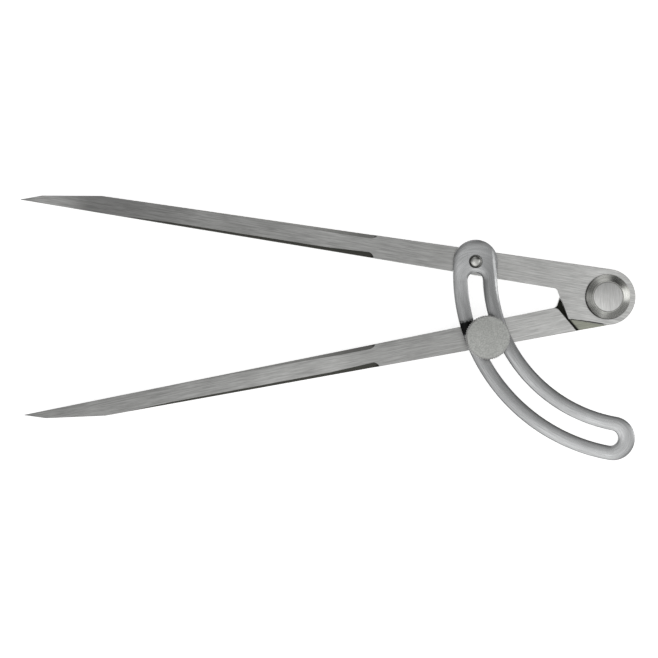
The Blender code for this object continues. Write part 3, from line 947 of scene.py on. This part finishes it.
    def _wing(self) -> Object:
        """Builds the wing as one ring of sections, with its eye cut and counterbored."""
        back, front = (corner.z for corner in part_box("wing"))
        rim = self._outline(self.eye_angle, self.end_angle, self.half_width)
        slot = self._outline(self.slot_start_angle, self.slot_end_angle, self.slot_half_width)
        shaped = bmesh.new()
        brushing = shaped.loops.layers.uv.new(BRUSH_MAP)
        loops = []
        for inner, outer in zip(slot, rim):
            section = self._section(inner, outer, back, front)
            loops.append([shaped.verts.new(point) for point in section])
        travelled = [0.0]
        middles = [(inner + outer) / 2 for inner, outer in zip(slot, rim)]
        for first, second in zip(middles, middles[1:] + middles[:1]):
            travelled.append(travelled[-1] + (second - first).length)
        count = len(loops[0])
        for index, loop in enumerate(loops):
            ahead = loops[(index + 1) % len(loops)]
            across = 0.0
            for row in range(count):
                following = (row + 1) % count
                face = shaped.faces.new((loop[row], ahead[row], ahead[following], loop[following]))
                step = (loop[row].co - loop[following].co).length
                places = ((index, across), (index + 1, across), (index + 1, across + step),
                          (index, across + step))
                for corner, (column, height) in zip(face.loops, places):
                    corner[brushing].uv = (travelled[column], height)
                across += step
        bmesh.ops.recalc_face_normals(shaped, faces=shaped.faces)
        piece = mesh_object("domed_wing", shaped, [self.wing_steel.build(),
                                                   self.shaded_bore_steel.build()])
        self._bore(piece, back, front)
        # the counterbore and a thin ring round it take the bore's dark finish: painted shade in
        # the recess
        for face in piece.data.polygons:
            outside = (face.center.xy - Vector(self.eye)).length - self.counterbore_radius
            if outside < self.bore_margin and face.center.z > back + 2 * self.bore_margin:
                face.material_index = 1
        piece.data.shade_smooth()
        piece.data.set_sharp_from_angle(angle=self.sharp)
        return settle(piece, "wing", "wing_steel", "wing")

    def _bore(self, piece: Object, back: float, front: float) -> None:
        """Cuts the hole and the counterbore, with a small chamfer at its mouth.

        Args:
            piece: the wing.
            back, front: the heights of its faces.
        """
        floor = front - self.counterbore_depth
        wide, narrow = self.counterbore_radius, self.hole_radius
        profile = [(0.0, front + MM), (wide + self.chamfer + MM, front + MM),
                   (wide, front - self.chamfer), (wide, floor), (narrow, floor),
                   (narrow, back - MM), (0.0, back - MM)]
        tool = mesh_object("eye_tool", turned(profile, 64, self.eye))
        boolean = piece.modifiers.new("Eye", "BOOLEAN")
        boolean.object = tool
        boolean.operation = "DIFFERENCE"
        boolean.solver = "EXACT"
        baked(piece)
        bpy.data.objects.remove(tool, do_unlink=True)

    def _rivet(self) -> Object:
        """Builds the wing's rivet, with a domed head and a countersunk tail."""
        tail, top = (corner.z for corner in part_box("wing_rivet"))
        seat = top - self.rivet_head_height
        rise = self.rivet_head_height * 0.55
        profile = [(0.0, top)]
        for step in range(1, 9):
            angle = math.pi / 2 * step / 8
            height = top - rise * (1 - math.cos(angle))
            profile.append((self.rivet_head_radius * math.sin(angle), height))
        profile += [(self.rivet_head_radius, seat), (self.rivet_radius, seat),
                    (self.rivet_radius, tail + self.tail_height), (self.tail_radius, tail),
                    (0.0, tail)]
        shaped = turned(profile, 64, self.eye)
        piece = mesh_object("domed_wing_rivet", shaped, [self.rivet_steel.build()])
        return settle(piece, "upper_leg", "rivet_steel", "wing_rivet")


@dataclass
class RidgeRing:
    """Geometry Nodes that stand tapered ridges in a ring, as a straight knurl has them."""

    name: str
    teeth: int
    radius: float
    length: float
    height: float               # middle of the ridges
    ridge: float                # radius of a ridge's own section
    centre: Place
    taper: float = 0.12         # share of the length over which each end runs out

    def build(self, material: Material) -> Object:
        """Runs the node tree, and returns the ridges as one plain mesh.

        Args:
            material: the finish of the ridges.

        Returns:
            The ridges, at the origin.
        """
        carrier = bpy.data.objects.new(self.name, bpy.data.meshes.new(self.name))
        bpy.context.scene.collection.objects.link(carrier)
        modifier = carrier.modifiers.new("Ridges", "NODES")
        modifier.node_group = self._tree(material)
        baked(carrier)
        carrier.data.transform(Matrix.Translation((*self.centre, self.height)))
        return carrier

    def _tree(self, material: Material) -> NodeTree:
        """Writes the node tree, with this ring's sizes as its named inputs."""
        tree = bpy.data.node_groups.new(self.name + "_nodes", "GeometryNodeTree")
        for label in ("Teeth", "Radius", "Length", "Ridge", "Taper"):
            value = getattr(self, label.lower())
            kind = "NodeSocketInt" if isinstance(value, int) else "NodeSocketFloat"
            entry = tree.interface.new_socket(label, in_out="INPUT", socket_type=kind)
            entry.default_value = value
        tree.interface.new_socket("Mesh", in_out="OUTPUT", socket_type="NodeSocketGeometry")
        graph = NodeGraph(tree)
        calc = graph.math

        def add(kind: str, **values: object) -> Node:
            """Adds a geometry node, and feeds the inputs that are named."""
            return graph.fill(tree.nodes.new("GeometryNode" + kind), **values)

        inputs = tree.nodes.new("NodeGroupInput").outputs
        half = calc("MULTIPLY", inputs["Length"], 0.5)
        ends = [graph.node("CombineXYZ", 0.0, 0.0, height).outputs[0]
                for height in (calc("MULTIPLY", half, -1.0), half)]
        line = add("CurvePrimitiveLine", Start=ends[0], End=ends[1])
        spaced = add("ResampleCurve", Curve=line.outputs[0], Count=9)
        share = add("SplineParameter").outputs["Factor"]
        to_end = calc("MINIMUM", share, calc("SUBTRACT", 1.0, share))
        swell = calc("MINIMUM", calc("DIVIDE", to_end, inputs["Taper"]), 1.0)
        section = add("CurvePrimitiveCircle", Resolution=4, Radius=inputs["Ridge"])
        bar = add("CurveToMesh", Curve=spaced.outputs[0],
                  Profile_Curve=section.outputs[0], Scale=calc("MAXIMUM", swell, 0.05),
                  Fill_Caps=True)
        ring = add("MeshCircle", Vertices=inputs["Teeth"], Radius=inputs["Radius"])
        index = add("InputIndex").outputs[0]
        turn = calc("DIVIDE", calc("MULTIPLY", index, math.tau), inputs["Teeth"])
        facing = graph.node("CombineXYZ", 0.0, 0.0, turn)
        copies = add("InstanceOnPoints", Points=ring.outputs[0],
                     Instance=bar.outputs[0], Rotation=facing.outputs[0])
        real = add("RealizeInstances", Geometry=copies.outputs[0])
        dressed = add("SetMaterial", Geometry=real.outputs[0], Material=material)
        output = tree.nodes.new("NodeGroupOutput")
        tree.links.new(dressed.outputs[0], output.inputs[0])
        return tree


@dataclass
class ClampScrew:
    """The thumb screw: blasted knob with a straight knurl, collar, waisted neck and thread."""

    face_steel: Steel
    rim_steel: Steel
    place: Place
    knob_radius: float = 7.4 * MM
    knob_height: float = 6.4 * MM
    knurl_depth: float = 0.28 * MM
    teeth: int = 60
    ridge: float = 0.36 * MM            # radius of a ridge's own section
    knurl_inset: float = 0.2 * MM       # from the knob's faces
    edge_round: float = 0.3 * MM
    collar_radius: float = 4.6 * MM
    collar_height: float = 1.2 * MM
    neck_radius: float = 1.0 * MM
    thread_radius: float = 2.0 * MM
    thread_depth: float = 0.3 * MM
    thread_pitch: float = 0.7 * MM
    thread_top: float = 7.25 * MM
    thread_lead: float = 0.5 * MM       # over which the thread runs out
    thread_rows: int = 64
    segments: int = 120

    def build(self) -> list[Object]:
        """Builds the knob with its collar and neck, its knurl and the thread."""
        tail, top = (corner.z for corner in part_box("clamp_screw"))
        back = top - self.knob_height
        return [self._knob(back, top), self._knurl(back, top), self._thread(tail)]

    def _knob(self, back: float, top: float) -> Object:
        """Builds the knob's body with its collar and neck.

        Args:
            back, top: the heights of the knob's faces.

        Returns:
            The body.
        """
        root = self.knob_radius - self.knurl_depth
        foot, end = back - self.collar_height, self.thread_top - 0.2 * MM
        levels = [(0.0, top), (root, top), (root, back), (self.collar_radius, back),
                  (self.collar_radius, foot), (self.neck_radius, foot),
                  (self.neck_radius, end), (0.0, end)]
        soft = rounded(levels, {1: self.edge_round, 2: self.edge_round, 3: 0.15 * MM,
                                4: 0.12 * MM, 5: 0.1 * MM}, 5)
        shaped = turned(soft, self.segments, self.place)
        for face in shaped.faces:
            if abs(face.normal.z) < 0.75 or face.calc_center_median().z < back - 0.01 * MM:
                face.material_index = 1
        piece = mesh_object("knob_body", shaped, [self.face_steel.build(), self.rim_steel.build()])
        return settle(piece, "thumb_screw", "screw_steel", "clamp_screw")

    def _knurl(self, back: float, top: float) -> Object:
        """Builds the knurl's ridges round the knob, between the same heights."""
        ring = RidgeRing("knob_knurl", self.teeth, self.knob_radius - self.ridge,
                         top - back - 2 * self.knurl_inset, (top + back) / 2, self.ridge,
                         self.place)
        return settle(ring.build(self.rim_steel.build()), "thumb_screw", "screw_steel")

    def _thread(self, tail: float) -> Object:
        """Builds the thread, whose ridge climbs round the screw's end."""
        reach = self.thread_top - tail

        def radius_at(height: float, angle: float) -> float:
            """Returns the thread's radius, which runs out to the neck and to the tip."""
            phase = (height / self.thread_pitch - angle / math.tau) % 1.0
            groove = self.thread_depth * (1 - abs(2 * phase - 1))
            end = min(height - tail, self.thread_top - height)
            crest = self.neck_radius + (self.thread_radius - self.neck_radius) * min(
                0.35 + end / self.thread_lead, 1.0)
            return min(self.thread_radius - groove, crest)

        profile = [(0.0, self.thread_top)]
        profile += [(self.thread_radius, self.thread_top - reach * row / self.thread_rows)
                    for row in range(self.thread_rows + 1)]
        profile.append((0.0, tail))
        shaped = turned(profile, 48, self.place, radius_at=radius_at)
        piece = mesh_object("screw_thread", shaped, [self.rim_steel.build()])
        return settle(piece, "thumb_screw", "screw_steel")


# Studio


@dataclass(frozen=True)
class Panel:
    """A soft light panel of the surroundings, or a black flag where its strength is below 0."""

    azimuth: float          # degrees from +X towards +Y
    elevation: float        # degrees above the table
    core: float             # half angle that is fully bright, in degrees
    edge: float             # half angle at which it has faded out
    strength: float


@dataclass
class Studio:
    """Pale table, soft panels round it, one softbox and a camera that looks straight down."""

    middle: Place = (-93.8 * MM, -10.8 * MM)        # of the picture
    view_width: float = 221.5 * MM                  # of the picture at the next height
    face_height: float = 8 * MM
    lens: float = 120.0
    film: float = 36.0
    table_half: float = 6.0
    table_height: float = -0.02 * MM
    table_tone: float = 0.86
    table_glow: float = 0.72                        # where the camera or a mirror sees it
    base_light: float = 0.3
    least_light: float = 0.02
    softbox_size: float = 1.1
    softbox_power: float = 1.4
    softbox_place: Point = (0.1, -0.02, 1.3)
    softbox_aim: Point = (-0.08, 0.0, 0.0)
    panels: tuple[Panel, ...] = (
        Panel(8, 30, 6, 22, 1.6),
        Panel(355, 58, 6, 24, 0.35),
        Panel(238, 57, 12, 42, 1.0),
        Panel(232, 26, 9, 28, -0.95),
        Panel(272, 32, 6, 20, -0.08),
        Panel(95, 30, 8, 26, 0.48),
        Panel(55, 44, 9, 30, -0.32),
        Panel(186, 58, 5, 24, -0.2),
        Panel(208, 32, 5, 20, -0.35),
        Panel(178, 30, 5, 18, 0.25),
        Panel(148, 30, 5, 22, -0.12),
    )

    def build(self) -> None:
        """Builds the table, the surroundings, the softbox and the camera."""
        self._table()
        self._surroundings()
        self._softbox()
        self._camera()

    def _table(self) -> None:
        """Builds the table, whose own glow shows it white and keeps a faint shadow."""
        half = self.table_half
        shaped = bmesh.new()
        corners = [(-half, -half), (half, -half), (half, half), (-half, half)]
        shaped.faces.new([shaped.verts.new((x, y, self.table_height)) for x, y in corners])
        material, graph, shader = new_material("white_table")
        rays = graph.node("LightPath").outputs
        seen = graph.math("MAXIMUM", rays["Is Camera Ray"], rays["Is Glossy Ray"])
        seen = graph.math("MAXIMUM", seen, rays["Is Transmission Ray"])
        graph.fill(shader, Base_Color=(*(self.table_tone,) * 3, 1.0), Roughness=0.8,
                   Emission_Color=(1.0, 1.0, 1.0, 1.0),
                   Emission_Strength=graph.math("MULTIPLY", seen, self.table_glow))
        mesh_object("table", shaped, [material])

    def _surroundings(self) -> None:
        """Lights the world with a plain glow and soft panels."""
        world = bpy.data.worlds.new("studio")
        world.use_nodes = True
        bpy.context.scene.world = world
        graph = NodeGraph(world.node_tree)
        ray = graph.node("TexCoord").outputs["Generated"]
        light: object = self.base_light
        for panel in self.panels:
            azimuth, elevation = math.radians(panel.azimuth), math.radians(panel.elevation)
            towards = (math.cos(azimuth) * math.cos(elevation),
                       math.sin(azimuth) * math.cos(elevation), math.sin(elevation))
            nearness = graph.vector("DOT_PRODUCT", ray, towards)
            edge, core = math.cos(math.radians(panel.edge)), math.cos(math.radians(panel.core))
            glow = graph.remap(nearness, edge, core, 0.0, panel.strength, smooth=True)
            light = graph.math("ADD", glow, light)
        graph.fill(world.node_tree.nodes["Background"], Color=(1.0, 1.0, 1.0, 1.0),
                   Strength=graph.math("MAXIMUM", light, self.least_light))

    def _softbox(self) -> None:
        """Hangs the softbox above the table, towards the head."""
        lamp = bpy.data.lights.new("softbox", "AREA")
        lamp.size = self.softbox_size
        lamp.energy = self.softbox_power
        holder = bpy.data.objects.new("softbox", lamp)
        holder.visible_camera = False
        holder.location = self.softbox_place
        aim = Vector(self.softbox_aim) - holder.location
        holder.rotation_euler = aim.to_track_quat("-Z", "Y").to_euler()
        bpy.context.scene.collection.objects.link(holder)

    def _camera(self) -> None:
        """Sets the camera straight above the middle of the picture, with +Y up."""
        lens = bpy.data.cameras.new("camera")
        lens.lens = self.lens
        lens.sensor_width = self.film
        lens.clip_start = 0.01
        lens.clip_end = 20.0
        camera = bpy.data.objects.new("camera", lens)
        height = self.face_height + self.view_width * self.lens / self.film
        camera.location = (*self.middle, height)
        bpy.context.scene.collection.objects.link(camera)
        bpy.context.scene.camera = camera
        bpy.context.scene.view_settings.view_transform = "Standard"


def joint_place(frame: dict, name: str) -> Place:
    """Returns the plan place of a joint of the frame.

    Args:
        name: the joint's name.

    Returns:
        Its x and y.
    """
    joint = next(item for item in frame["joints"] if item["name"] == name)
    return joint["pos_m"][0], joint["pos_m"][1]


def dress_legs(nodes: dict[str, Object]) -> None:
    """Dresses both legs, whose flutes are black on one side and grey, lighter further out, on the
    other: a shaded and a lit copy of one forging skin, painted shade and painted light.

    Args:
        nodes: the CAD nodes, by name.
    """
    # painted shadow along the lower edge of the front leg's lug, on its top face, where it meets
    # the lap
    lug_shadow = PaintedPatch((-7.14 * MM, -8.42 * MM), math.radians(-8.04), 5.9 * MM, 0.4 * MM,
                     ragged=0.15, level=0.12, lowest=7.6 * MM)
    # the lengthways shades are painted light and shade: lighter near the head, darker towards the
    # tips; the lower leg's crossways shades are painted light, lighter towards -Y
    upper_ground = Steel("leg_steel", (0.52, 0.521, 0.511), (0.35, 0.351, 0.343), 0.36,
                         contrast=0.09, stroke_length=10 * MM, stroke_width=0.36 * MM,
                         lengthways=((0.0, 1.4), (0.025, 1.13), (0.062, 0.82), (0.1, 0.8),
                                     (0.12, 0.67), (0.136, 0.67), (0.152, 0.52),
                                     (0.176, 0.46), (0.189, 0.95)), painted_patches=(lug_shadow,))
    lower_ground = replace(upper_ground, name="lower_leg_steel",
                           light=(0.55, 0.551, 0.541), dark=(0.375, 0.376, 0.367),
                           lengthways=((0.0, 1.2), (0.028, 1.04), (0.056, 0.72), (0.07, 0.68),
                                       (0.1, 0.77), (0.118, 0.75), (0.142, 0.61), (0.18, 0.59)),
                           crossways=((-5 * MM, 0.82), (5 * MM, 1.18)), painted_patches=())
    lap = Steel("lap_steel", (0.46, 0.47, 0.40), (0.3, 0.31, 0.26), 0.42)
    # the black skin is the shaded copy and the grey one the lit copy of one forging skin: painted
    # shade and painted light; the grey one grows lighter further out
    black = ForgingSkin("forging_skin", (0.09, 0.09, 0.078), 0.5, outer_colour=(0.09, 0.09, 0.078))
    grey = ForgingSkin("lit_forging_skin", (0.22, 0.22, 0.21), 0.45, outer_colour=(0.4, 0.4, 0.385))
    for node, body, angle, turned_over, ground in (
            ("front_leg", "upper_leg", 180 - 9.4, False, upper_ground),
            ("rear_leg", "lower_leg", 180 + 11.4, True, lower_ground)):
        leg = ForgedLeg(node, body, math.radians(angle), turned_over, ground, black, grey, lap)
        leg.build(nodes[node])


def dress_head() -> None:
    """Dresses the riveted head, with painted shade at the foot of its rosettes."""
    # painted shade: a dark ring at the outer edge of both rosettes
    foot = PaintedPatch((0.32 * MM, 0.1 * MM), 0.0, 7.55 * MM, 7.55 * MM, fade=0.06, ragged=0.012,
                 squareness=2.0, around=True, level=0.15)
    rosette = Steel("rosette_steel", (0.66, 0.662, 0.63), (0.42, 0.422, 0.4), 0.24,
                    brushing=Brushing.TURNED, stroke_width=0.25 * MM, cloud_depth=0.05,
                    painted_patches=(foot,))
    rivet_end = Steel("rivet_steel", (0.62, 0.62, 0.61), (0.43, 0.43, 0.42), 0.3, contrast=0.12,
                      stroke_length=6 * MM, stroke_width=0.3 * MM, cloud_depth=0.05)
    RivetedHead(rosette, rivet_end).build()


def dress_wing(eye: Place) -> None:
    """Dresses the wing and its rivet.

    Args:
        eye: where the rivet stands.
    """
    # painted shadow of the knob on the wing's rail, left of the knob at rest
    knob_shadow = PaintedPatch((-48.0 * MM, -10.5 * MM), 0.0, 2.75 * MM, 2.6 * MM, fade=0.45, squareness=2.4,
                   lowest=9.6 * MM)
    # painted highlight along the right edge of the rail below the eye
    edge_highlight = PaintedPatch((-37.9 * MM, 7.2 * MM), math.radians(-83.6), 7.2 * MM, 0.45 * MM, fade=1.0,
                   ragged=0.25, grain=0.9 * MM, squareness=2.4, level=2.3)
    # the lengthways shades paint light and shade along the ring, brightest round the far end
    rail = Steel("wing_steel", (0.47, 0.475, 0.478), (0.33, 0.334, 0.336), 0.28,
                 stroke_length=9 * MM, stroke_width=0.3 * MM, relief=0.003 * MM, contrast=0.1,
                 lengthways=((0.0, 1.0), (0.013, 0.7), (0.036, 0.83), (0.047, 0.84),
                             (0.066, 1.2), (0.08, 1.26), (0.108, 1.26), (0.124, 0.98),
                             (0.136, 0.94), (0.152, 0.62), (0.168, 0.66), (0.182, 1.15),
                             (0.192, 1.0)), cloud_depth=0.1, painted_patches=(knob_shadow, edge_highlight))
    # the bore's dark tone is painted shade in the counterbore, and its lengthways shades paint
    # light on its east side
    bore = Steel("shaded_bore_steel", (0.17, 0.17, 0.165), (0.08, 0.08, 0.075), 0.45,
                 brushing=Brushing.TURNED, axis=eye, stroke_width=0.2 * MM,
                 lengthways=((0.0, 4.2), (0.0035, 1.5), (0.007, 0.7), (0.0103, 0.9),
                             (0.0138, 4.2)))
    dome = Steel("wing_rivet_steel", (0.62, 0.62, 0.6), (0.4, 0.4, 0.38), 0.25,
                 brushing=Brushing.TURNED, axis=eye, stroke_width=0.2 * MM)
    SlottedWing(rail, bore, dome, eye).build()


def dress_screw(place: Place) -> None:
    """Dresses the clamp screw.

    Args:
        place: where its axis stands.
    """
    blasted = Steel("knob_face_steel", (0.6, 0.61, 0.585), (0.42, 0.427, 0.41), 0.5,
                    brushing=Brushing.BLASTED, stroke_width=0.45 * MM, relief=0.03 * MM,
                    contrast=0.1)
    rim = Steel("knob_rim_steel", (0.5, 0.5, 0.49), (0.32, 0.32, 0.31), 0.36,
                brushing=Brushing.TURNED, axis=place, stroke_width=0.3 * MM)
    ClampScrew(blasted, rim, place).build()


def main() -> None:
    """Dresses the frame, piece by piece, and sets the studio."""
    logging.basicConfig(level=logging.INFO, format="%(message)s")
    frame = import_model()
    dress_legs(frame["nodes"])
    dress_head()
    dress_wing(joint_place(frame, "wing_swing"))
    dress_screw(joint_place(frame, "clamp_turn"))
    Studio().build()


if __name__ == "__main__":
    main()
